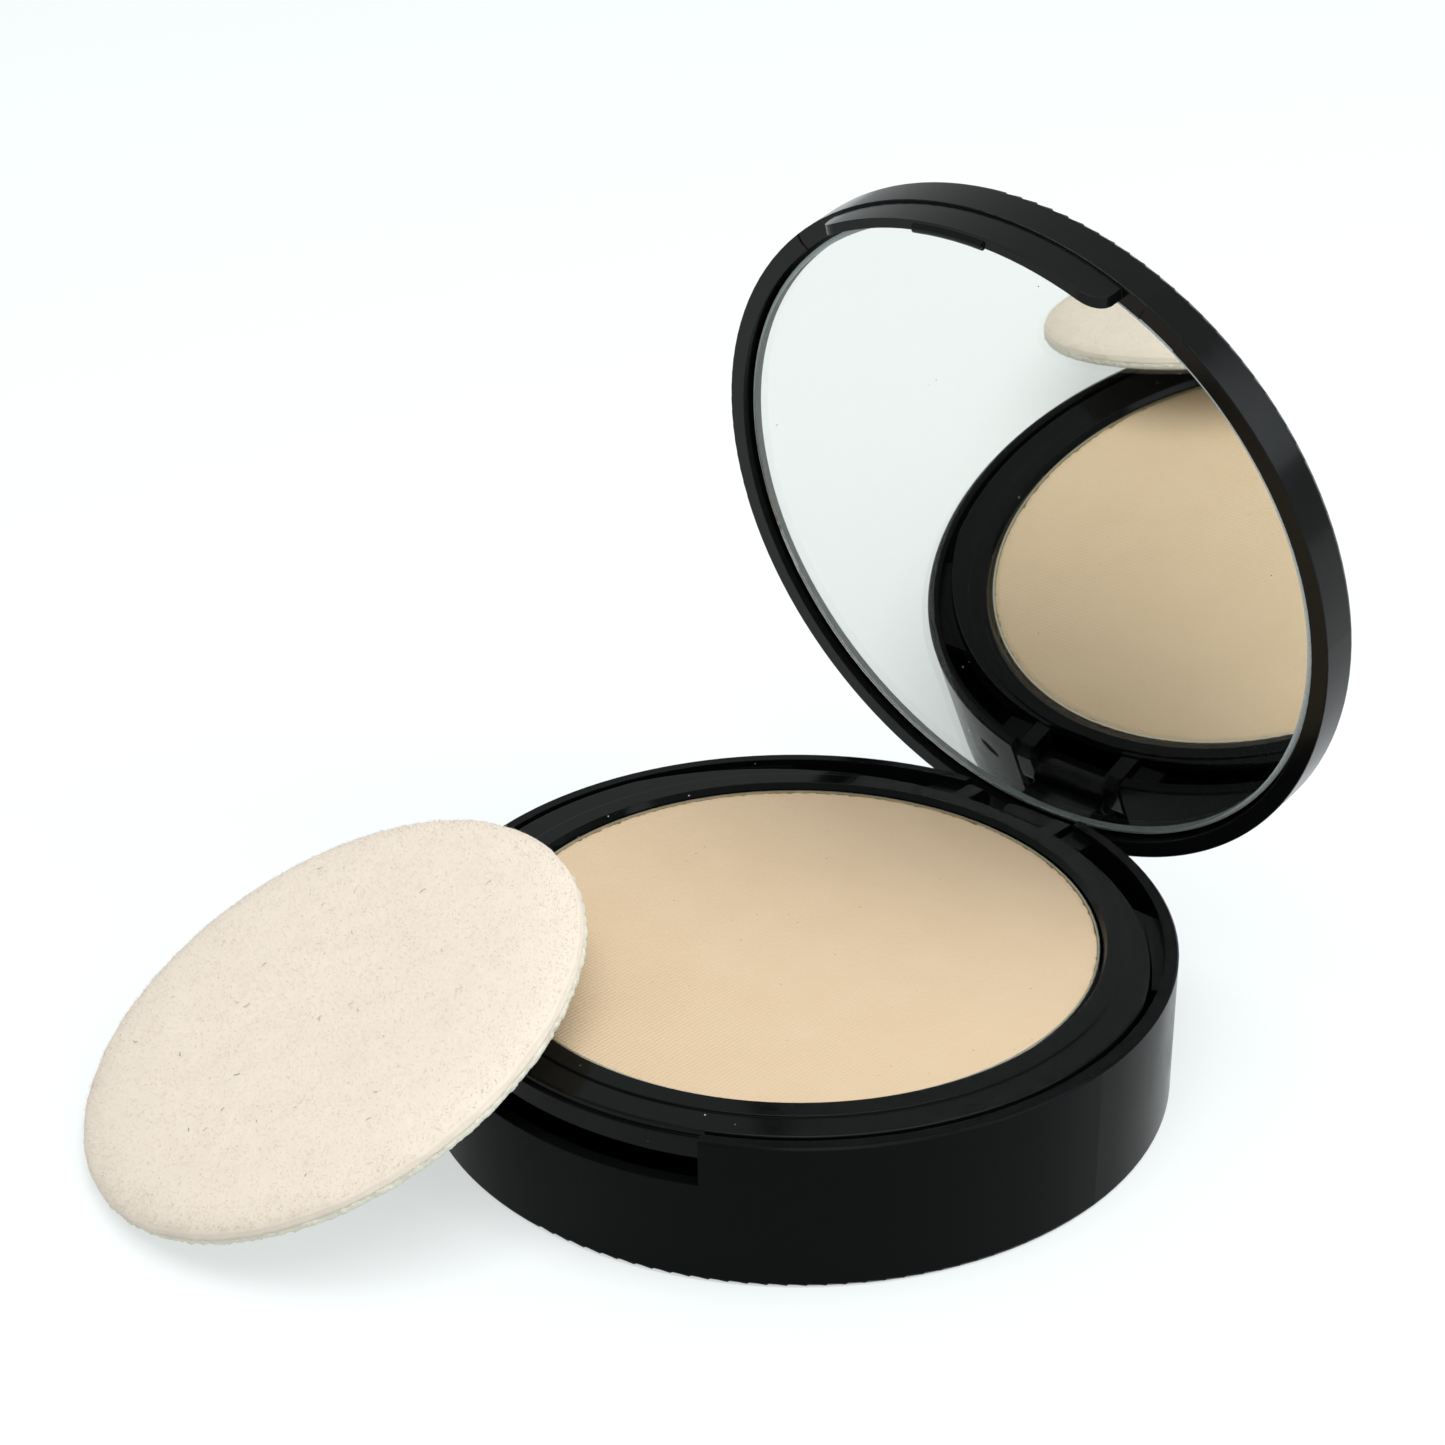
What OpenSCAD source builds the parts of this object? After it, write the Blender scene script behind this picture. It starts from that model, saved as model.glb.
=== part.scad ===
// Pressed powder compact: a round base that holds the puff, a tray on the same hinge
// pin that holds the pan of powder, and a mirrored lid. Millimetres. The origin is the
// middle of the underside, +Z is up and the hinge is at +Y, so the front is at -Y.
// The pan is a stock size, and every round part is built outwards from it.

/* [Pan and powder] */
// Diameter of the metal pan, which sets the size of the whole compact
pan_d = 59; // [49:0.5:71]
// Height of the pan
pan_h = 4; // [3.2:0.1:5]
// Thickness of the pan's sheet
pan_t = 0.25; // [0.2:0.05:0.4]
// How far the pan's edge lies below the rim
pan_drop = 0.42; // [0.3:0.02:0.8]
// How far the powder lies below the pan's edge
powder_drop = 0.08; // [0.02:0.02:0.4]
// Thickness of the glue under the pan
glue_t = 0.15; // [0.1:0.05:0.3]

/* [Tray] */
// Width of the raised ring around the pan
ring_w = 2.05; // [1:0.05:3]
// Height of the raised ring above the deck
ring_rise = 0.2; // [0.1:0.05:0.4]
// Width of the deck outside the raised ring
deck_w = 2.9; // [2.4:0.1:4]
// Thickness of the deck
deck_t = 1.2; // [0.9:0.1:1.6]
// Depth of the tray's skirt below the rim
skirt_depth = 2.8; // [2.3:0.1:3.4]
// Thickness of the well's wall
well_wall_t = 1; // [0.7:0.1:1.2]
// How far the centre of the tray's rear edge lies in front of the compact's axis
rear_shift = 4; // [3.3:0.1:4.8]
// Diameter of the hole for pushing the pan out
push_hole_d = 6; // [4:0.5:12]

/* [Base] */
// Height of the base from the table to its rim
base_h = 14.9; // [12.4:0.1:18]
// Thickness of the round wall
wall_t = 1.3; // [1.1:0.05:1.6]
// Thickness of the floor
floor_t = 1.2; // [0.8:0.1:2]
// Gap between the tray and the wall of the base
tray_gap = 0.6; // [0.5:0.05:0.8]
// How much smaller in radius the base is at its foot
draft = 0.05; // [0:0.05:0.4]
// Radius of the outer edge at the foot
foot_edge_r = 0.4; // [0.3:0.1:1.2]
// Half angle of the thumb cut at the front
cut_half_angle = 28.4; // [22:0.2:34]
// Depth of the thumb cut below the rim
cut_depth = 4.65; // [3.85:0.05:5.6]
// Depth of the rear ledges below the rim
ledge_drop = 0.8; // [0.6:0.1:1.2]
// Angle from the rear at which each ledge ends
ledge_end_angle = 64; // [50:1:75]

/* [Lid] */
// Height of the lid
lid_h = 4.4; // [3.6:0.1:6]
// Width of the lid's rim face
lid_rim_w = 1.8; // [1.4:0.1:2.2]
// Radius of the lid's upper edge
lid_edge_r = 0.6; // [0.4:0.1:1.2]
// Thickness of the closing tongue
tongue_t = 1; // [0.8:0.05:1.2]
// How far the opened lid has turned from closed
lid_open_angle = 77.9; // [60:0.1:94]

/* [Mirror] */
// Depth of the mirror's face inside the lid's rim
mirror_recess = 0.7; // [0.5:0.05:0.9]
// Thickness of the glass
glass_t = 1.1; // [0.9:0.1:1.3]
// Thickness of the silvering and its paint
silver_t = 0.1; // [0.05:0.05:0.2]
// Thickness of the foam tape
tape_t = 0.6; // [0.4:0.1:0.8]

/* [Hinge] */
// Diameter of the steel pin
pin_d = 1.2; // [1:0.1:1.4]
// How far each end of the pin goes into the base
pin_bite = 1.8; // [1.4:0.1:2.2]
// Distance from the pin to the outside of the base's wall
pin_inset = 2.2; // [2:0.05:2.6]
// Distance from the pin to the rim of the base
pin_drop = 4.3; // [4:0.1:5.2]
// Outer diameter of the lid's barrel
barrel_d = 4.4; // [3.8:0.1:4.6]
// Length of the lid's barrel
barrel_l = 9.2; // [7.6:0.1:11]
// Thickness of each of the tray's arms
arm_t = 1.9; // [1.4:0.1:2.2]

/* [Puff] */
// Diameter of the puff
puff_d = 53.2; // [44:0.2:58]
// Thickness of the puff's foam
foam_t = 2.8; // [2.3:0.1:3.6]
// Thickness of the puff's velour on its face
velour_t = 1; // [0.7:0.1:1.5]
// Height of the strip of bare foam around the puff's edge
bare_strip = 1; // [0.7:0.1:1.5]
// Tilt of the puff where it leans on the rim
puff_tilt = 25.2; // [20:0.1:28]
// Direction, from +X, in which the leaning puff slopes down
puff_heading = 244; // [235:0.5:250]
// How far the puff's middle lies beside the place where it leans
puff_aside = 5; // [0:0.1:7]

/* [Hidden] */
$fn = 96;
eps = 0.01;            // how far a cutter passes the face that it cuts
reach = 60;            // longer than any radius, for cutters that run outwards
pin_fit = 0.05;        // radial clearance of what turns on the pin
pin_grip = 0.02;       // radial clearance of the pin in the base
side_fit = 0.2;        // sideways clearance between the lid's barrel and the arms
slot_fit = 0.5;        // sideways clearance between the arms and the base
seat_fit = 0.05;       // clearance between the tray's skirt and its ribs
ledge_fit = 0.1;       // height of the tray's rear edge above the ledges
lid_fit = 0.1;         // gap between the closed lid and the base's rim
edge_r = 0.2;          // radius of the moulded edges

// the pan's well and the round parts around it
well_fit = 0.25;
well_r = pan_d / 2 + well_fit;
well_lip = 0.4;
ring_r = well_r + well_lip + ring_w;
tray_r = ring_r + deck_w;
wall_r = tray_r + tray_gap;
base_r = wall_r + wall_t;

// heights inside the base
rim_z = base_h;
pan_top_z = rim_z - pan_drop;
pan_bottom_z = pan_top_z - pan_h;
well_floor_z = pan_bottom_z - glue_t;
well_floor_t = 0.9;
tray_bottom_z = well_floor_z - well_floor_t;
skirt_t = 1.1;
skirt_z = rim_z - skirt_depth;
rear_r = tray_r + 1.5;
rear_skirt_inset = 1.3;
ledge_z = rim_z - ledge_drop;

// hinge
pin_y = base_r - pin_inset;
pin_z = rim_z - pin_drop;
arm_x = barrel_l / 2 + side_fit;
arm_eye_r = pin_d / 2 + 0.9;
arm_top_z = rim_z - 0.3;
slot_x = arm_x + arm_t + slot_fit;
slot_z = pin_z - barrel_d / 2 - 1;
pin_l = 2 * (slot_x + pin_bite);

// lid and catch
lid_flare = 0.2;
lid_r = base_r + lid_flare;
lid_inner_r = lid_r - lid_rim_w;
lid_z = rim_z + lid_fit;
mirror_fit = 0.4;
mirror_r = lid_inner_r - mirror_fit;
mirror_z = lid_z + mirror_recess;
tongue_inset = 0.05;
tongue_floor_gap = 1.2;
tongue_side_gap = 1.4;
tongue_h = cut_depth + lid_fit - tongue_floor_gap;
tongue_half_angle = cut_half_angle - tongue_side_gap;
tongue_out_r = base_r - tongue_inset;
tongue_in_r = tongue_out_r - tongue_t;
bead_r = 0.5;
bead_half_angle = 6.5;
bead_z = lid_z - tongue_h + 0.1;
bead_inset = 0.2;      // how far the bead's middle lies inside the tongue's thickness
tab_gap = 0.18;
tab_r = tongue_in_r + bead_inset - bead_r - tab_gap;
tab_drop = 0.75;
tab_side_gap = 0.4;

// puff
puff_r = puff_d / 2;
puff_gap = 0.3;        // keeps the leaning puff clear of the rim and the table
foam_edge_r = 0.4;
velour_edge_r = 1.3;
velour_side_t = 0.5;
// The underside passes over the rim's outer edge while its low edge meets the table.
puff_fall = foam_edge_r * (1 - cos(puff_tilt));
puff_low_y = (rim_z - puff_fall) / tan(puff_tilt);
puff_mid_y = base_r + puff_low_y - (puff_r - foam_edge_r) * cos(puff_tilt);
puff_mid_z = (puff_r - foam_edge_r) * sin(puff_tilt) + puff_fall;

// A wedge about the axis that opens towards -Y.
module front_wedge(half_angle, z, h)
    translate([0, 0, z])
        linear_extrude(h)
            polygon([[0, 0], [-reach * sin(half_angle), -reach * cos(half_angle)],
                     [reach * sin(half_angle), -reach * cos(half_angle)]]);

// Half of a round bar's section: the quarter circle that rounds a disc's edge.
module edge_quarter(r, side)
    intersection() {
        circle(r);
        translate([0, side < 0 ? -r : 0]) square(r);
    }

// A disc with a rounded upper edge, and a rounded lower edge if low_r is more than 0.
module soft_disc(r, h, low_r, high_r)
    rotate_extrude() {
        translate([0, low_r]) square([r, h - low_r - high_r]);
        square([r - max(low_r, high_r), h]);
        translate([r - high_r, h - high_r]) edge_quarter(high_r, 1);
        translate([0, h - high_r]) square([r - high_r, high_r]);
        if (low_r > 0) {
            translate([r - low_r, low_r]) edge_quarter(low_r, -1);
            square([r - low_r, low_r]);
        }
    }

// The tray's plan, a round whose rear edge is flatter.
module tray_plan(inset, rear_inset)
    intersection() {
        circle(tray_r - inset);
        translate([0, -rear_shift]) circle(rear_r - rear_inset);
    }

// A round bar along X, centred on the hinge pin.
module on_pin(r, l, x = 0)
    translate([x - l / 2, pin_y, pin_z]) rotate([0, 90, 0]) cylinder(r = r, h = l);

// The base's outside: a drafted wall over a rounded foot.
module base_outside()
    rotate_extrude() {
        polygon([[0, foot_edge_r], [base_r - draft, foot_edge_r],
                 [base_r, rim_z - edge_r], [base_r - edge_r, rim_z], [0, rim_z]]);
        square([base_r - draft - foot_edge_r, foot_edge_r]);
        translate([base_r - draft - foot_edge_r, foot_edge_r]) edge_quarter(foot_edge_r, -1);
    }

// The two ledges beside the hinge, which follow the tray's rear edge.
module rear_ledges() {
    ledge_t = 1.2;
    tray_clear = 0.2;
    intersection() {
        translate([0, 0, ledge_z - ledge_t])
            linear_extrude(ledge_t)
                difference() {
                    circle(wall_r + wall_t / 2);
                    translate([0, -rear_shift]) circle(rear_r + tray_clear);
                }
        rotate(180) front_wedge(ledge_end_angle, 0, rim_z);
    }
}

// The blocks beside the slot that hold the ends of the pin.
module pin_blocks() {
    block_w = pin_bite + 1.2;
    block_y = pin_y - 2.6;
    for (side = [-1, 1])
        intersection() {
            translate([side * (slot_x + block_w / 2) - block_w / 2, block_y, 0])
                cube([block_w, base_r - block_y, ledge_z]);
            cylinder(r = wall_r + wall_t / 2, h = rim_z);
        }
}

// The ribs inside the wall that the tray's skirt sits on.
module seat_ribs() {
    rib_t = 1.2;
    rib_l = tray_gap + 1;
    for (angle = [-52, -14, 194, 232])
        rotate(angle)
            translate([wall_r - rib_l, -rib_t / 2, 0])
                cube([rib_l + wall_t / 2, rib_t, skirt_z - seat_fit]);
}

// The pin's bore, open at the left so that the pin can be driven in from outside.
module pin_bore() {
    right_end = pin_l / 2 + 0.05;
    left_end = -pin_l / 2 - 7;
    on_pin(pin_d / 2 + pin_grip, right_end - left_end, (right_end + left_end) / 2);
}

module base_shell()
    color("#17181a")
    difference() {
        union() {
            difference() {
                base_outside();
                translate([0, 0, floor_t]) cylinder(r = wall_r, h = rim_z);
            }
            rear_ledges();
            pin_blocks();
            seat_ribs();
        }
        // the thumb cut
        difference() {
            front_wedge(cut_half_angle, rim_z - cut_depth, cut_depth + 1);
            cylinder(r = tray_r - skirt_t, h = rim_z + 2);
        }
        // the slot for the arms and the barrel
        translate([-slot_x, pin_y - 6, slot_z]) cube([2 * slot_x, 12, rim_z]);
        pin_bore();
    }

module hinge_pin()
    color("#b9bcc0") on_pin(pin_d / 2, pin_l);

// One of the tray's arms: a plate that runs back from the deck and down to the pin.
module tray_arm(side) {
    root_y = pin_y - 5.4;
    nose = 1.1;
    end_y = pin_y + arm_eye_r;
    translate([side * (arm_x + arm_t / 2) - arm_t / 2, 0, 0])
        rotate([90, 0, 90])
            linear_extrude(arm_t) {
                polygon([[root_y, arm_top_z], [end_y - nose, arm_top_z], [end_y, arm_top_z - nose],
                         [end_y, pin_z], [end_y - 2 * arm_eye_r, pin_z], [root_y, skirt_z + 0.4]]);
                translate([pin_y, pin_z]) circle(arm_eye_r);
            }
}

// The tab that stands in the thumb cut below the deck's edge.
module front_tab()
    intersection() {
        difference() {
            translate([0, 0, skirt_z]) soft_disc(tab_r, skirt_depth - tab_drop, 0, edge_r / 2);
            translate([0, 0, skirt_z - eps]) cylinder(r = tray_r - skirt_t, h = skirt_depth);
        }
        front_wedge(cut_half_angle - tab_side_gap, skirt_z - 1, skirt_depth + 1);
    }

// The deck with its soft edge, and the skirt, which is set in at the rear so that the
// edge can swing back over the ledges.
module deck_and_skirt() {
    edge_t = ledge_drop - ledge_fit;
    intersection() {
        translate([0, 0, rim_z - edge_t]) soft_disc(tray_r, edge_t, 0, edge_r);
        translate([0, -rear_shift, rim_z - edge_t]) soft_disc(rear_r, edge_t, 0, edge_r);
    }
    difference() {
        translate([0, 0, skirt_z])
            linear_extrude(skirt_depth - edge_t / 2) tray_plan(0, rear_skirt_inset);
        translate([0, 0, skirt_z - eps])
            linear_extrude(skirt_depth - deck_t + eps) tray_plan(skirt_t, rear_skirt_inset + skirt_t);
    }
}

module inner_tray()
    color("#1b1d20")
    difference() {
        union() {
            deck_and_skirt();
            front_tab();
            // raised ring
            translate([0, 0, rim_z - edge_r]) soft_disc(ring_r, ring_rise + edge_r, 0, edge_r / 2);
            // well
            translate([0, 0, tray_bottom_z])
                cylinder(r = well_r + well_wall_t, h = rim_z - deck_t / 2 - tray_bottom_z);
            for (side = [-1, 1]) tray_arm(side);
        }
        translate([0, 0, well_floor_z]) cylinder(r = well_r, h = rim_z);
        translate([0, 0, pan_top_z])
            cylinder(r1 = well_r, r2 = well_r + well_lip, h = pan_drop + ring_rise + eps);
        translate([0, 0, tray_bottom_z - eps]) cylinder(d = push_hole_d, h = 2 * well_floor_t);
        on_pin(pin_d / 2 + pin_fit, 2 * slot_x);
        // room for the lid's barrel between the arms
        translate([-arm_x, pin_y - barrel_d / 2 - 0.6, tray_bottom_z - 1])
            cube([2 * arm_x, barrel_d + 2, rim_z]);
    }

module pan_glue() {
    dot_d = 9;
    dot_ring_r = 0.27 * pan_d;
    color("#d9cfae")
        for (angle = [90, 210, 330])
            rotate(angle) translate([dot_ring_r, 0, well_floor_z]) cylinder(d = dot_d, h = glue_t);
}

module powder_pan()
    color("#c3c1b6")
    translate([0, 0, pan_bottom_z])
        difference() {
            soft_disc(pan_d / 2, pan_h, 0.5, pan_t / 3);
            translate([0, 0, pan_t]) cylinder(r = pan_d / 2 - pan_t, h = pan_h);
        }

module powder_cake()
    color("#e0c49b")
    translate([0, 0, pan_bottom_z + pan_t])
        soft_disc(pan_d / 2 - pan_t, pan_h - pan_t - powder_drop, 0, 0.12);

// Turns what is drawn closed about the pin to where the opened lid stands.
module opened()
    translate([0, pin_y, pin_z]) rotate([-lid_open_angle, 0, 0]) translate([0, -pin_y, -pin_z]) children();

// The closing tongue, a piece of wall with rounded lower corners, and the catch bead
// along the middle of its lower edge.
module lid_tongue() {
    half_w = tongue_out_r * sin(tongue_half_angle);
    corner_r = 2.2;
    root = 1.2;
    intersection() {
        difference() {
            cylinder(r = tongue_out_r, h = lid_z + root);
            translate([0, 0, -1]) cylinder(r = tongue_in_r, h = lid_z + root + 2);
        }
        translate([0, 0, lid_z - tongue_h])
            rotate([90, 0, 0])
                linear_extrude(reach) {
                    translate([-half_w, corner_r]) square([2 * half_w, tongue_h + root - corner_r]);
                    translate([-half_w + corner_r, 0]) square([2 * (half_w - corner_r), corner_r]);
                    for (side = [-1, 1])
                        translate([side * (half_w - corner_r), corner_r]) circle(corner_r);
                }
    }
    rotate(-90 - bead_half_angle)
        translate([0, 0, bead_z])
            rotate_extrude(angle = 2 * bead_half_angle) translate([tongue_in_r + bead_inset, 0]) circle(bead_r);
}

// The barrel on the pin and the web that joins it to the lid's rim.
module lid_knuckle() {
    web_x = barrel_l / 2 - 0.2;
    web_t = 1.8;
    web_root = 0.4;
    on_pin(barrel_d / 2, barrel_l);
    translate([-web_x, pin_y, pin_z]) cube([2 * web_x, web_t, lid_z + web_root - pin_z]);
}

// The round marks that the mould's ejector pins leave on the rim face.
module ejector_marks() {
    mark_d = 4.6;
    mark_depth = 0.12;
    for (side = [-1, 1])
        rotate(-90 + side * 35)
            translate([lid_r - lid_rim_w / 2, 0, lid_z - eps])
                cylinder(d = mark_d, h = mark_depth + eps);
}

module lid_shell()
    color("#17181a") opened()
    difference() {
        union() {
            difference() {
                translate([0, 0, lid_z]) soft_disc(lid_r, lid_h, edge_r / 2, lid_edge_r);
                translate([0, 0, lid_z - eps])
                    cylinder(r = lid_inner_r, h = mirror_recess + glass_t + silver_t + tape_t + eps);
                ejector_marks();
            }
            lid_tongue();
            lid_knuckle();
        }
        on_pin(pin_d / 2 + pin_fit, barrel_l + 1);
    }

module mirror_glass() {
    arris = 0.4;
    color("#dfe9ea") opened()
        translate([0, 0, mirror_z]) {
            cylinder(r1 = mirror_r - arris, r2 = mirror_r, h = arris);
            translate([0, 0, arris]) cylinder(r = mirror_r, h = glass_t - arris);
        }
}

module mirror_silvering()
    color("#9aa0a2") opened()
        translate([0, 0, mirror_z + glass_t]) cylinder(r = mirror_r - 0.1, h = silver_t);

module mirror_tape()
    color("#3c3d3f") opened()
        translate([0, 0, mirror_z + glass_t + silver_t]) cylinder(r = mirror_r - 2, h = tape_t);

// Places what is drawn flat, with its underside at 0, where the puff leans on the rim.
module leaning()
    rotate(puff_heading)
        translate([puff_mid_y + puff_gap * sin(puff_tilt), -puff_aside,
                   puff_mid_z + puff_gap * cos(puff_tilt)])
            rotate([0, puff_tilt, 0]) children();

module puff_foam()
    color("#efece0") leaning() {
        soft_disc(puff_r - 0.15, bare_strip, foam_edge_r, eps);
        cylinder(r = puff_r - velour_side_t, h = foam_t);
    }

module puff_velour()
    color("#f1e4d3") leaning()
        difference() {
            translate([0, 0, bare_strip])
                soft_disc(puff_r, foam_t + velour_t - bare_strip, 0.2, velour_edge_r);
            cylinder(r = puff_r - velour_side_t, h = foam_t);
        }

base_shell();
hinge_pin();
inner_tray();
pan_glue();
powder_pan();
powder_cake();
lid_shell();
mirror_tape();
mirror_silvering();
mirror_glass();
puff_foam();
puff_velour();
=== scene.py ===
# %% [markdown]
# Powder compact
#
# This lesson dresses a pressed-powder compact for the camera. The hard parts come ready made
# from CAD, as a fixed frame that nothing here may move. Blender's work is the finish of each
# part, the soft puff, the pressed powder, and the light.

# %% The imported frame
import math
import random
import bpy
from mathutils import Matrix, Vector, noise


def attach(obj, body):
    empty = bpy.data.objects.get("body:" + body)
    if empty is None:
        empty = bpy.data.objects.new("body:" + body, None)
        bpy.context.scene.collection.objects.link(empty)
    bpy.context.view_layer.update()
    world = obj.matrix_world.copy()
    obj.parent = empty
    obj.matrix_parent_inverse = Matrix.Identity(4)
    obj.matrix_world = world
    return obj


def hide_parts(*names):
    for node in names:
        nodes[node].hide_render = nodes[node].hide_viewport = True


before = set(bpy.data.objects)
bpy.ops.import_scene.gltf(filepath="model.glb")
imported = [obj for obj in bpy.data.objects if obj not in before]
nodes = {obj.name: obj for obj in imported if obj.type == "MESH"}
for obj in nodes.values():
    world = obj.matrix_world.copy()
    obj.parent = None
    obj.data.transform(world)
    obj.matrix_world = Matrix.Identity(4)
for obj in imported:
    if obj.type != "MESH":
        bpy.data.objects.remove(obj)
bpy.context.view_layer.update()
MM = 0.001
print("CAD nodes:", ", ".join(sorted(nodes)))

# %% [markdown]
# The camera
#
# The compact was looked at from the front right and from above, with a long lens, so its far
# side is hardly smaller than its near side. A camera needs a place, a direction and a roll.
# The place and the three angles are enough: the view direction is worked out from them.

# %% The camera
CAMERA_PLACE = Vector((167.7, -187.7, 165.7)) * MM
LOOKS_FROM = math.radians(43.368)
LOOKS_DOWN = math.radians(26.977)
ROLL = math.radians(0.603)
SENSOR = 36.0
FOCAL_LENGTH = 74.74

back = Vector((math.sin(LOOKS_FROM) * math.cos(LOOKS_DOWN),
               -math.cos(LOOKS_FROM) * math.cos(LOOKS_DOWN),
               math.sin(LOOKS_DOWN)))
level_right = (-back).cross(Vector((0, 0, 1))).normalized()
level_down = (-back).cross(level_right)
right = level_right * math.cos(ROLL) + level_down * math.sin(ROLL)
up = -(level_down * math.cos(ROLL) - level_right * math.sin(ROLL))
lens = bpy.data.cameras.new("long_lens")
lens.sensor_width = SENSOR
lens.lens = FOCAL_LENGTH
lens.clip_start = 0.01
lens.clip_end = 20
camera = bpy.data.objects.new("camera", lens)
camera.matrix_world = Matrix.Translation(CAMERA_PLACE) @ Matrix((right, up, back)).transposed().to_4x4()
bpy.context.scene.collection.objects.link(camera)
bpy.context.scene.camera = camera
print("camera", [round(v / MM) for v in camera.location], "mm")

# %% [markdown]
# Helpers for colours and nodes
#
# A colour picker gives sRGB values, and the renderer wants linear light, so one function turns
# a hex colour into linear numbers. Another adds one shader node with its options and what its
# sockets hold or are fed by. Every material below is built with these two.

# %% Colours and nodes
def linear(hex_colour, alpha=1.0):
    """An sRGB hex colour as the linear numbers that Blender's sockets take."""
    channels = [int(hex_colour[i:i + 2], 16) / 255 for i in (1, 3, 5)]
    return [c / 12.92 if c <= 0.04045 else ((c + 0.055) / 1.055) ** 2.4 for c in channels] + [alpha]


def add(tree, kind, sockets=None, **options):
    """One shader node. A socket is given a value, or the output that feeds it."""
    node = tree.nodes.new("ShaderNode" + kind)
    for name, value in options.items():
        setattr(node, name, value)
    for name, value in (sockets or {}).items():
        socket = node.inputs[name]
        if isinstance(value, bpy.types.NodeSocket):
            tree.links.new(value, socket)
        else:
            socket.default_value = value
    return node


def material(name):
    """An empty node material and its tree, with the point in the part's own metres."""
    made = bpy.data.materials.new(name)
    made.use_nodes = True
    made.node_tree.nodes.clear()
    point = add(made.node_tree, "TexCoord").outputs["Object"]
    return made, made.node_tree, point


def finish_tree(tree, shader):
    """Ends a material in its output."""
    add(tree, "OutputMaterial", {"Surface": shader.outputs[0]})


def dress(node, made):
    """Gives a CAD node the material, in every slot that it has."""
    mesh = nodes[node].data
    mesh.materials.clear()
    mesh.materials.append(made)
    print(node, "wears", made.name)


# %% [markdown]
# The floor and the light
#
# Small glossy goods are often shown on an opal light table, which glows a little from below and so takes
# most of the shadow away. The large soft light hangs above, a little to the right, with a
# smaller one at the right. The decks mirror what lies low behind the compact on the left, so
# no light stands there and they stay black.

# %% The floor
FLOOR_SIZE = 3.0
FLOOR_GAP = 0.02
FLOOR_WHITE = "#9A9C9D"
TABLE_GLOW = 0.57

white_card, tree, point = material("opal_light_table")
card_shader = add(tree, "BsdfPrincipled", {"Base Color": linear(FLOOR_WHITE), "Roughness": 0.75,
                                           "Specular IOR Level": 0.2, "Emission Color": linear("#FBFFFF"),
                                           "Emission Strength": TABLE_GLOW})
finish_tree(tree, card_shader)
half = FLOOR_SIZE / 2
floor_mesh = bpy.data.meshes.new("floor")
corners = [(-half, -half, 0), (half, -half, 0), (half, half, 0), (-half, half, 0)]
floor_mesh.from_pydata(corners, [], [(0, 1, 2, 3)])
floor_mesh.materials.append(white_card)
floor = bpy.data.objects.new("floor", floor_mesh)
floor.location.z = -FLOOR_GAP * MM
bpy.context.scene.collection.objects.link(floor)

# %% The lights
def soft_light(name, place, size, power, colour="#FFFFFF"):
    """A square area light that faces the compact."""
    data = bpy.data.lights.new(name, "AREA")
    data.shape = "SQUARE"
    data.size = size
    data.energy = power
    data.color = linear(colour)[:3]
    lamp = bpy.data.objects.new(name, data)
    lamp.location = place
    lamp.rotation_mode = "QUATERNION"
    lamp.rotation_quaternion = (-Vector(place)).to_track_quat("-Z", "Y")
    bpy.context.scene.collection.objects.link(lamp)
    print(name, power, "W")


soft_light("overhead_softbox", (0.30, -0.05, 1.15), 1.1, 15.0)
soft_light("right_softbox", (1.0, 0.55, 0.75), 0.7, 4.0, "#EEF6FF")

room = bpy.data.worlds.new("studio_room")
room.use_nodes = True
room.node_tree.nodes.clear()
glow = add(room.node_tree, "Background", {"Color": linear("#F4F9FA"), "Strength": 0.62})
add(room.node_tree, "OutputWorld", {"Surface": glow.outputs[0]})
bpy.context.scene.world = room
bpy.context.scene.view_settings.view_transform = "Standard"

# %% [markdown]
# Black ABS
#
# The base, tray and lid are injection-moulded ABS in gloss black. Polished tool steel leaves
# it smooth, so what the eye sees is mostly what it mirrors: slightly wavy, softened a little
# by handling, with bright specks of dust. The specular level is lowered until the walls are
# as black as the real ones, although the IOR of ABS alone would mirror more.

# %% Black ABS
ABS_IOR = 1.54
DUST_CELL_MM = 1.5
MOULD_EDGE_MM = 0.12
ABS_BLACK = "#080909"
DUST = "#B7B4A6"


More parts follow.
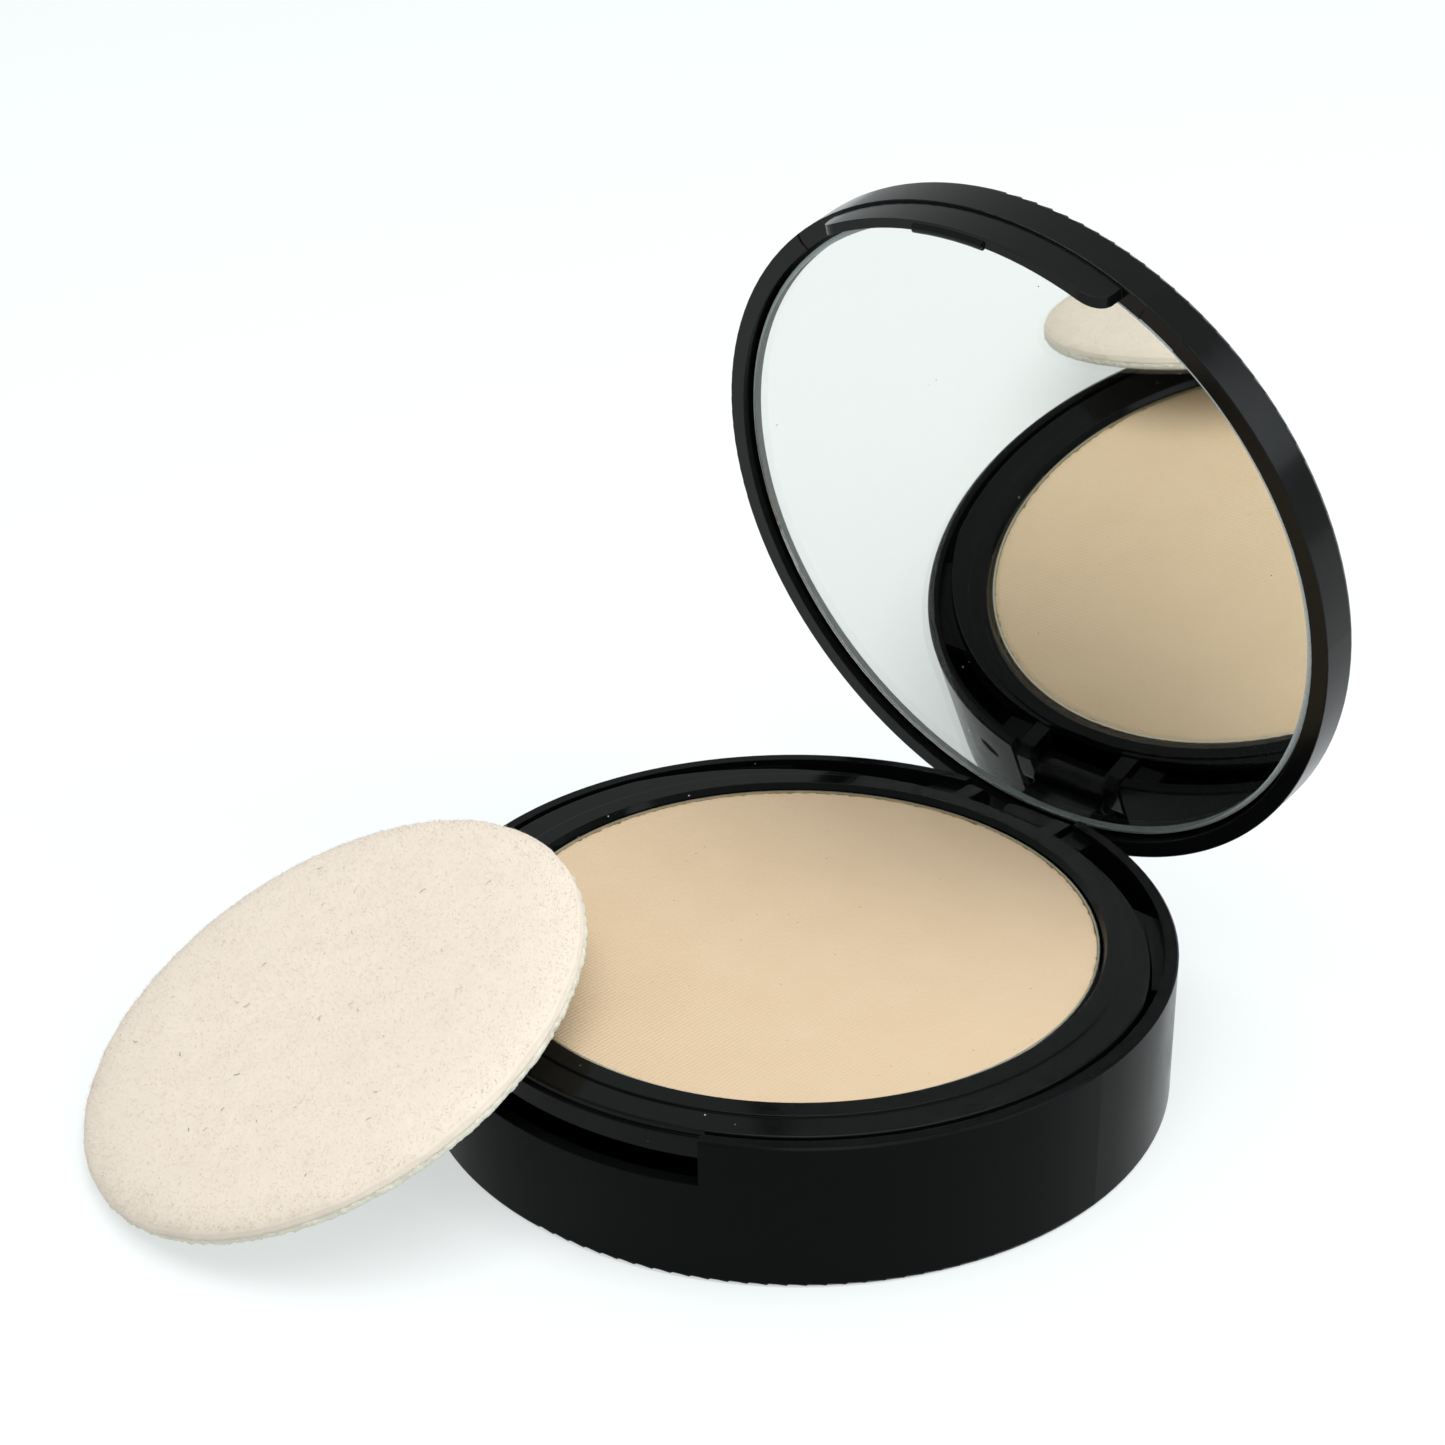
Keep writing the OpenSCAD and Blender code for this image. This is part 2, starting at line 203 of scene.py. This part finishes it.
def black_abs(name, roughness, wave_mm, dust_share, specular):
    made, tree, point = material(name)
    # the slow waviness of a moulded wall
    wave = add(tree, "TexNoise", {"Vector": point, "Scale": 1 / (wave_mm * MM), "Detail": 2.0})
    # handling marks: patches that are a little less glossy
    handled = add(tree, "TexNoise", {"Vector": point, "Scale": 1 / (9 * MM), "Detail": 5.0,
                                     "Roughness": 0.65})
    gloss = add(tree, "MapRange", {"Value": handled.outputs["Fac"], "From Min": 0.35, "From Max": 0.75,
                                   "To Min": roughness * 0.8, "To Max": roughness * 1.5})
    # dust: one speck in a share of the cells, 0.1 to 0.2 mm across
    cells = add(tree, "TexVoronoi", {"Vector": point, "Scale": 1 / (DUST_CELL_MM * MM)})
    drawn = add(tree, "SeparateColor", {"Color": cells.outputs["Color"]})
    chosen = add(tree, "Math", {0: drawn.outputs[0], 1: dust_share}, operation="LESS_THAN")
    size = add(tree, "MapRange", {"Value": drawn.outputs[1], "To Min": 0.03, "To Max": 0.07})
    near = add(tree, "Math", {0: cells.outputs["Distance"], 1: size.outputs[0]}, operation="LESS_THAN")
    speck = add(tree, "Math", {0: chosen.outputs[0], 1: near.outputs[0]}, operation="MULTIPLY")
    colour = add(tree, "Mix", {0: speck.outputs[0], 6: linear(ABS_BLACK), 7: linear(DUST)}, data_type="RGBA")
    rough = add(tree, "Math", {0: gloss.outputs[0], 1: speck.outputs[0]}, operation="MAXIMUM")
    # sharp corners of the tool come out of the mould a little rounded
    edge = add(tree, "Bevel", {"Radius": MOULD_EDGE_MM * MM}, samples=4)
    bump = add(tree, "Bump", {"Height": wave.outputs["Fac"], "Strength": 0.2, "Distance": 0.03 * MM,
                              "Normal": edge.outputs[0]})
    shader = add(tree, "BsdfPrincipled", {"Base Color": colour.outputs[2], "Roughness": rough.outputs[0],
                                          "IOR": ABS_IOR, "Specular IOR Level": specular,
                                          "Normal": bump.outputs[0]})
    finish_tree(tree, shader)
    return made


dress("base_shell", black_abs("moulded_black_abs_base", 0.20, 14, 0.05, 0.04))
dress("inner_tray", black_abs("moulded_black_abs_tray", 0.12, 12, 0.16, 0.085))
dress("lid_shell", black_abs("moulded_black_abs_lid", 0.16, 10, 0.08, 0.14))

# %% [markdown]
# Bright metals
#
# The hinge pin is drawn steel wire. The pan is thin pressed sheet, and only its cut edge
# shows, a fine bright line around the powder. Both are metals, so they keep the default IOR.

# %% Bright metals
def bright_metal(name, hex_colour, roughness, grain_mm):
    made, tree, point = material(name)
    grain = add(tree, "TexNoise", {"Vector": point, "Scale": 1 / (grain_mm * MM), "Detail": 3.0})
    worn = add(tree, "MapRange", {"Value": grain.outputs["Fac"], "To Min": roughness * 0.7,
                                  "To Max": roughness * 1.4})
    bump = add(tree, "Bump", {"Height": grain.outputs["Fac"], "Strength": 0.2, "Distance": 0.01 * MM})
    shader = add(tree, "BsdfPrincipled", {"Base Color": linear(hex_colour), "Metallic": 1.0,
                                          "Roughness": worn.outputs[0], "Normal": bump.outputs[0]})
    finish_tree(tree, shader)
    return made


dress("hinge_pin", bright_metal("drawn_steel_wire", "#C9CBCD", 0.25, 0.2))
dress("powder_pan", bright_metal("pressed_pan_sheet", "#C4C4B4", 0.35, 0.3))

# %% The glue and the foam tape
def plain_matt(name, hex_colour, dark_hex, grain_mm, roughness):
    made, tree, point = material(name)
    grain = add(tree, "TexNoise", {"Vector": point, "Scale": 1 / (grain_mm * MM), "Detail": 3.0})
    colour = add(tree, "Mix", {0: grain.outputs["Fac"], 6: linear(dark_hex), 7: linear(hex_colour)},
                 data_type="RGBA")
    bump = add(tree, "Bump", {"Height": grain.outputs["Fac"], "Strength": 0.5, "Distance": 0.05 * MM})
    shader = add(tree, "BsdfPrincipled", {"Base Color": colour.outputs[2], "Roughness": roughness,
                                          "Normal": bump.outputs[0]})
    finish_tree(tree, shader)
    return made


dress("pan_glue", plain_matt("set_hot_melt_glue", "#E2D7B5", "#CDBE95", 1.5, 0.4))
dress("mirror_tape", plain_matt("foam_tape", "#3A3B3D", "#202122", 0.3, 0.9))

# %% [markdown]
# Meshes of our own
#
# The mirror, the powder and the puff are all discs, so they can share one way of building.
# A disc's place is read from its CAD part: the biggest face gives the axis, and the extent
# along and across the axis gives the thickness and the radius. A closed mesh is then turned
# about that axis from a profile, and a function may push each point in or out on the way.

# %% A disc's place
def disc_place(node, towards):
    """Where a disc lies: the matrix that stands it on its low face, its height and radius."""
    mesh = nodes[node].data
    axis = max(mesh.polygons, key=lambda face: face.area).normal.copy()
    if axis.dot(Vector(towards)) < 0:
        axis.negate()
    across = axis.orthogonal().normalized()
    third = axis.cross(across)
    spans = []
    for direction in (across, third, axis):
        along = [corner.co.dot(direction) for corner in mesh.vertices]
        spans.append((min(along), max(along)))
    middle = across * sum(spans[0]) / 2 + third * sum(spans[1]) / 2 + axis * spans[2][0]
    turn = Matrix((across, third, axis)).transposed().to_4x4()
    height = spans[2][1] - spans[2][0]
    radius = (spans[0][1] - spans[0][0]) / 2
    print(node, "radius", round(radius / MM, 2), "height", round(height / MM, 2), "mm")
    return Matrix.Translation(middle) @ turn, height / MM, radius / MM


# %% A turned mesh
def turned(profile, segments, shape=None):
    """Points and faces of a closed solid turned from a profile in mm, pole to pole."""
    points = [Vector((0, 0, profile[0][1]))]
    faces = []
    for ring, (radius, height) in enumerate(profile[1:-1]):
        for step in range(segments):
            angle = math.tau * step / segments
            point = Vector((radius * math.cos(angle), radius * math.sin(angle), height))
            points.append(shape(point, radius) if shape else point)
            following = (step + 1) % segments
            if ring == 0:
                faces.append((0, 1 + following, 1 + step))
            else:
                low = 1 + (ring - 1) * segments
                high = low + segments
                faces.append((low + step, low + following, high + following, high + step))
    top = len(points)
    last = top - segments
    points.append(Vector((0, 0, profile[-1][1])))
    faces += [(last + step, last + (step + 1) % segments, top) for step in range(segments)]
    return points, faces


def piece(name, body, replaced, place, points, faces, made, smooth=True):
    """Links a mesh that stands in for a CAD node and moves with its body."""
    mesh = bpy.data.meshes.new(name)
    mesh.from_pydata([place @ (point * MM) for point in points], [], faces)
    mesh.polygons.foreach_set("use_smooth", [smooth] * len(faces))
    mesh.materials.append(made)
    made_piece = bpy.data.objects.new(name, mesh)
    bpy.context.scene.collection.objects.link(made_piece)
    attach(made_piece, body)
    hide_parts(replaced)
    print(name, len(points), "points")
    return made_piece


# %% [markdown]
# The mirror
#
# A pocket mirror is float glass with a film of silver on its back. The silver gives the
# picture, and the glass adds the green edge and a ground bevel that catches the light. Two
# faces in one plane would fight, so the silver lies a hair behind the glass. Both discs are
# shaded flat: a smoothed normal would bend the picture.

# %% The mirror
GROUND_EDGE = 0.5
SILVER_GAP = 0.02
MIRROR_SIDES = 256


def float_glass():
    made, tree, point = material("float_glass")
    clear = add(tree, "BsdfPrincipled", {"Base Color": linear("#FFFFFF"), "Transmission Weight": 1.0,
                                         "IOR": 1.52, "Roughness": 0.0})
    # the ground bevel is a frosted face
    grit = add(tree, "TexNoise", {"Vector": point, "Scale": 1 / (0.2 * MM), "Detail": 3.0})
    pale = add(tree, "Mix", {0: grit.outputs["Fac"], 6: linear("#A9B6B6"), 7: linear("#F2FBFA")},
               data_type="RGBA")
    frosted = add(tree, "BsdfPrincipled", {"Base Color": pale.outputs[2], "Roughness": 0.35, "IOR": 1.52})
    ground = add(tree, "Attribute", attribute_name="ground")
    # dust on the face
    cells = add(tree, "TexVoronoi", {"Vector": point, "Scale": 1 / (4 * MM)})
    near = add(tree, "Math", {0: cells.outputs["Distance"], 1: 0.018}, operation="LESS_THAN")
    marked = add(tree, "Math", {0: near.outputs[0], 1: ground.outputs["Fac"]}, operation="MAXIMUM")
    shader = add(tree, "MixShader", {0: marked.outputs[0], 1: clear.outputs[0], 2: frosted.outputs[0]})
    finish_tree(tree, shader)
    return made


def silver_film():
    made, tree, point = material("silver_film")
    rub = add(tree, "TexNoise", {"Vector": point, "Scale": 1 / (5 * MM), "Detail": 6.0, "Roughness": 0.7})
    haze = add(tree, "MapRange", {"Value": rub.outputs["Fac"], "From Min": 0.6, "From Max": 0.9,
                                  "To Min": 0.02, "To Max": 0.04})
    shader = add(tree, "BsdfPrincipled", {"Base Color": linear("#EFF2EE"), "Metallic": 1.0,
                                          "Roughness": haze.outputs[0]})
    finish_tree(tree, shader)
    return made


place, glass_h, glass_r = disc_place("mirror_glass", (0, -1, 0))
face_r = glass_r - GROUND_EDGE
outline = [(0, 0), (glass_r, 0), (glass_r, glass_h - GROUND_EDGE * 0.8), (face_r + 0.01, glass_h - 0.01),
           (face_r, glass_h), (0, glass_h)]
points, faces = turned(outline, MIRROR_SIDES)
glass = piece("mirror_glass_disc", "lid", "mirror_glass", place, points, faces, float_glass(),
              smooth=False)
ground = glass.data.attributes.new("ground", "FLOAT", "POINT")
ground.data.foreach_set("value", [1.0 if point.z > glass_h / 4 and point.xy.length > face_r + 0.005 else 0.0
                                      for point in points])

place, silver_h, silver_r = disc_place("mirror_silvering", (0, -1, 0))
film_h = silver_h - SILVER_GAP
points, faces = turned([(0, 0), (silver_r, 0), (silver_r, film_h), (0, film_h)], MIRROR_SIDES)
piece("mirror_silver_disc", "lid", "mirror_silvering", place, points, faces, silver_film(),
      smooth=False)

# %% [markdown]
# Pressed powder
#
# The powder is pressed into its pan through a cloth. The press leaves a matt and very even
# face with a faint diagonal weave, and the rim crumbles a little where the pan's edge held
# it. The slow dips and the crumbled rim are modelled, the weave and the grit are bump.

# %% The powder's material
WEAVE_MM = 0.62


def pressed_powder():
    made, tree, point = material("pressed_powder")
    tone = add(tree, "TexNoise", {"Vector": point, "Scale": 1 / (7 * MM), "Detail": 4.0})
    fleck = add(tree, "TexNoise", {"Vector": point, "Scale": 1 / (0.35 * MM), "Detail": 2.0})
    mixed = add(tree, "MapRange", {"Value": tone.outputs["Fac"], "From Min": 0.1, "From Max": 0.9})
    colour = add(tree, "Mix", {0: mixed.outputs[0], 6: linear("#C5AE90"), 7: linear("#CAB497")},
                 data_type="RGBA")
    # flecks of unmixed pigment
    cells = add(tree, "TexVoronoi", {"Vector": point, "Scale": 1 / (2.2 * MM)})
    near = add(tree, "Math", {0: cells.outputs["Distance"], 1: 0.035}, operation="LESS_THAN")
    colour = add(tree, "Mix", {0: near.outputs[0], 6: colour.outputs[2], 7: linear("#9A7755")},
                 data_type="RGBA")
    # the weave: two sets of diagonal ribs, printed most firmly at the front left
    ribs = []
    for across in ((1, 1, 0), (1, -1, 0)):
        along = add(tree, "VectorMath", {0: point,
                                         1: Vector(across) * math.tau / (math.sqrt(2) * WEAVE_MM * MM)},
                    operation="DOT_PRODUCT")
        ribs.append(add(tree, "Math", {0: along.outputs["Value"]}, operation="SINE").outputs[0])
    weave = add(tree, "Math", {0: ribs[0], 1: ribs[1]}, operation="MULTIPLY")
    firm = add(tree, "VectorMath", {0: point, 1: (-0.5 / (20 * MM), -0.85 / (20 * MM), 0)},
               operation="DOT_PRODUCT")
    firm = add(tree, "MapRange", {"Value": firm.outputs["Value"], "From Min": -0.8, "From Max": 1.0,
                                  "To Min": 0.1, "To Max": 1.0})
    printed = add(tree, "Math", {0: weave.outputs[0], 1: firm.outputs[0]}, operation="MULTIPLY")
    height = add(tree, "Math", {0: fleck.outputs["Fac"], 1: printed.outputs[0]}, operation="ADD")
    bump = add(tree, "Bump", {"Height": height.outputs[0], "Strength": 0.6, "Distance": 0.05 * MM})
    shader = add(tree, "BsdfPrincipled", {"Base Color": colour.outputs[2], "Roughness": 0.95,
                                          "Specular IOR Level": 0.15, "Normal": bump.outputs[0]})
    finish_tree(tree, shader)
    return made


# %% The powder's mesh
CRUMBLED = 0.7
PAN_GAP = 0.02
PRESSED_IN = 0.03
AROUND = 720


def pressed(point, radius):
    """Dips in the face, and a rim that has crumbled."""
    if point.z < cake_h / 2:
        return point
    slow = noise.noise(point * 0.09) * 0.03
    edge = max(0.0, (radius - (cake_r - CRUMBLED)) / CRUMBLED)
    crumb = noise.noise(Vector((point.x * 1.9, point.y * 1.9, 3.0)))
    fine = noise.noise(Vector((point.x * 5.5, point.y * 5.5, 9.0)))
    drop = edge * edge * (0.12 + 0.30 * max(0.0, crumb) + 0.10 * fine)
    pull = 1 - edge * 0.006 * max(0.0, crumb)
    return Vector((point.x * pull, point.y * pull, point.z + slow - drop - PRESSED_IN))


place, cake_h, cake_r = disc_place("powder_cake", (0, 0, 1))
rings = [(cake_r - CRUMBLED * k / 7 - PAN_GAP, cake_h) for k in range(7)]
rings += [((cake_r - CRUMBLED) * (1 - k / 60), cake_h) for k in range(60)]
points, faces = turned([(0, 0), (cake_r - PAN_GAP, 0)] + rings + [(0, cake_h - PRESSED_IN)], AROUND, pressed)
piece("pressed_cake", "tray", "powder_cake", place, points, faces, pressed_powder())

# %% [markdown]
# The puff
#
# The puff is a disc of foam with short cream velour on its face. The face is crowned: it is
# flat in the middle and rolls over towards a soft edge. Each surface is turned from a
# profile and pushed about by noise at the scales of the real thing: the sag of the foam, the
# tufts of the pile, and the torn edge of the foam where it was die-cut. Cloth simulation
# could make the crown too; a profile was quicker, and gives the same outline every time.

# %% The puff's materials
def velour():
    made, tree, point = material("cream_velour")
    patches = add(tree, "TexNoise", {"Vector": point, "Scale": 1 / (3.5 * MM), "Detail": 5.0,
                                     "Roughness": 0.65})
    shade = add(tree, "MapRange", {"Value": patches.outputs["Fac"], "From Min": 0.3, "From Max": 0.7})
    colour = add(tree, "Mix", {0: shade.outputs[0], 6: linear("#D5C9BA"), 7: linear("#DACEBF")},
                 data_type="RGBA")
    lint = add(tree, "Attribute", attribute_name="lint")
    colour = add(tree, "Mix", {0: lint.outputs["Fac"], 6: colour.outputs[2], 7: linear("#7A7064")},
                 data_type="RGBA")
    pile = add(tree, "TexNoise", {"Vector": point, "Scale": 1 / (0.22 * MM), "Detail": 3.0})
    bump = add(tree, "Bump", {"Height": pile.outputs["Fac"], "Strength": 0.6, "Distance": 0.06 * MM})
    shader = add(tree, "BsdfPrincipled", {"Base Color": colour.outputs[2], "Roughness": 1.0,
                                          "Specular IOR Level": 0.1,
                                          "Sheen Weight": 0.08, "Sheen Roughness": 0.6,
                                          "Normal": bump.outputs[0]})
    finish_tree(tree, shader)
    return made


foam_material = plain_matt("die_cut_latex_foam", "#DCDACB", "#C3C0AF", 0.35, 0.95)
velour_material = velour()

# %% The foam
FOAM_STRIP = 0.85
NAP_SIDE = 0.15


def torn(point, radius):
    """The die-cut edge, torn into crumbs."""
    edge = max(0.0, (radius - (foam_r - 1.0)) / 1.0)
    rough = noise.noise(point * 1.3) * 0.20 + noise.noise(point * 4.0) * 0.14
    push = 1 + edge * (rough - 0.16) / foam_r
    return Vector((point.x * push, point.y * push, point.z))


foam_place, _, foam_r = disc_place("puff_foam", (0, 0, 1))
foam_r += NAP_SIDE
sides = [(foam_r - 0.35, 0.0), (foam_r - 0.1, 0.12), (foam_r, 0.3), (foam_r, 0.5), (foam_r - 0.02, 0.7)]
under = [(foam_r * k / 12, 0.0) for k in range(1, 12)]
over = [(foam_r - 0.15, FOAM_STRIP)] + [(foam_r * k / 12, FOAM_STRIP) for k in range(11, 0, -1)]
points, faces = turned([(0, 0)] + under + sides + over + [(0, FOAM_STRIP)], 900, torn)
foam = piece("puff_foam_disc", "puff", "puff_foam", foam_place, points, faces, foam_material)

# %% The velour
PUFF_THICK = 3.7
UNDERSIDE_Z = 0.66
EDGE_Z = 1.0
CROWN_POWER = 4.4
_, _, puff_r = disc_place("puff_velour", (0, 0, 1))


def crown(radius):
    """Height of the velour's face above the foam's underside, in mm."""
    share = min(1.0, radius / puff_r)
    return EDGE_Z + (PUFF_THICK - EDGE_Z) * (1 - share ** CROWN_POWER) ** 0.46


def tufted(point, radius):
    """The sag of the foam, then the tufts of the pile."""
    if point.z < EDGE_Z - 0.1:
        return point
    sag = noise.noise(point * 0.16) * 0.06
    tufts = noise.noise(point * 0.75) * 0.018 + noise.noise(point * 2.4) * 0.03
    edge = max(0.0, (radius - 0.9 * puff_r) / (0.1 * puff_r))
    push = 1 - edge * (0.12 - 0.16 * noise.noise(point * 0.5) - tufts) / puff_r
    return Vector((point.x * push, point.y * push, point.z + (sag + tufts) * (1 - 0.9 * edge)))


tuck = [(puff_r * k / 10, UNDERSIDE_Z) for k in range(1, 10)]
roll = [(puff_r - 0.5, UNDERSIDE_Z), (puff_r - 0.25, 0.72), (puff_r - 0.14, 0.84), (puff_r - 0.11, 0.96)]
for k in range(1, 27):
    radius = (puff_r - 0.1) * math.cos(math.radians(56.0) * k / 26) ** (1 / 3)
    roll.append((radius, crown(radius)))
inner_r = roll[-1][0]
face = [(inner_r * (1 - k / 70), crown(inner_r * (1 - k / 70))) for k in range(1, 70)]
points, faces = turned([(0, UNDERSIDE_Z)] + tuck + roll + face + [(0, PUFF_THICK)], 600, tufted)
print("velour face", round(inner_r, 1), "mm inside its rolled edge")

# %% [markdown]
# Nap and lint
#
# Velour looks soft because its fibres stand off the face and blur the outline. Each fibre here
# is a thin closed spike with its root in the face. A few dark hairs of lint lie on top.

# %% Nap and lint
random.seed(11)
NAP_FIBRES = 16000
LINT_HAIRS = 30
EDGE_SHARE = 0.2
NAP_MARGIN = 0.35
EDGE_BAND = 2.5
ROOT_DEPTH = 0.03
NAP_WIDTH = 0.018
NAP_LENGTH = (0.18, 0.42)
lint_marks = [0.0] * len(points)


def face_point(radius, angle):
    """A point on the crowned face, and the direction in which the face looks there."""
    step = 0.05
    point = Vector((radius * math.cos(angle), radius * math.sin(angle), crown(radius)))
    fall = (crown(radius - step) - crown(min(radius + step, puff_r - 0.001))) / (2 * step)
    outward = Vector((math.cos(angle) * fall, math.sin(angle) * fall, 1)).normalized()
    return tufted(point, radius), outward


def spike(root, direction, length, width):
    """A closed three-sided spike."""
    side = direction.orthogonal().normalized() * width
    other = direction.cross(side)
    base = len(points)
    points.extend([root + side, root - side * 0.5 + other * 0.87, root - side * 0.5 - other * 0.87,
                   root + direction * length])
    faces.extend([(base, base + 1, base + 3), (base + 1, base + 2, base + 3), (base + 2, base, base + 3),
                  (base, base + 2, base + 1)])


for _ in range(NAP_FIBRES):
    radius = (puff_r - NAP_MARGIN) * math.sqrt(random.random())
    if random.random() < EDGE_SHARE:
        radius = puff_r - NAP_MARGIN - EDGE_BAND * random.random() ** 2
    root, outward = face_point(radius, random.random() * math.tau)
    lean = Vector((random.uniform(-1, 1), random.uniform(-1, 1), random.uniform(-0.4, 0.4)))
    direction = (outward + lean * 0.8).normalized()
    spike(root - outward * ROOT_DEPTH, direction, random.uniform(*NAP_LENGTH), NAP_WIDTH)
lint_marks += [0.0] * (len(points) - len(lint_marks))


def hair(radius, angle, length, width, heading, curl):
    """A closed, curved hair that lies on the face, four sections long."""
    start, _ = face_point(radius, angle)
    sections = 5
    base = len(points)
    spot = start
    for k in range(sections):
        along = Vector((math.cos(heading), math.sin(heading), 0))
        beside = Vector((-along.y, along.x, 0)) * width
        height = crown(min(spot.xy.length, puff_r - 0.3)) + 0.12
        middle = Vector((spot.x, spot.y, height))
        points.extend([middle + beside, middle - beside, middle + Vector((0, 0, width * 1.5))])
        spot += along * length / (sections - 1)
        heading += curl
    for k in range(sections - 1):
        here = base + 3 * k
        for side in range(3):
            other = (side + 1) % 3
            faces.append((here + side, here + other, here + 3 + other, here + 3 + side))
    faces.append((base, base + 2, base + 1))
    end = base + 3 * (sections - 1)
    faces.append((end, end + 1, end + 2))


for _ in range(LINT_HAIRS):
    hair(puff_r * 0.88 * math.sqrt(random.random()), random.random() * math.tau, random.uniform(0.25, 0.85),
         random.uniform(0.012, 0.026), random.random() * math.tau, random.uniform(-0.5, 0.5))
lint_marks += [1.0] * (len(points) - len(lint_marks))
puff = piece("puff_velour_face", "puff", "puff_velour", foam_place, points, faces, velour_material)
lint = puff.data.attributes.new("lint", "FLOAT", "POINT")
lint.data.foreach_set("value", lint_marks)
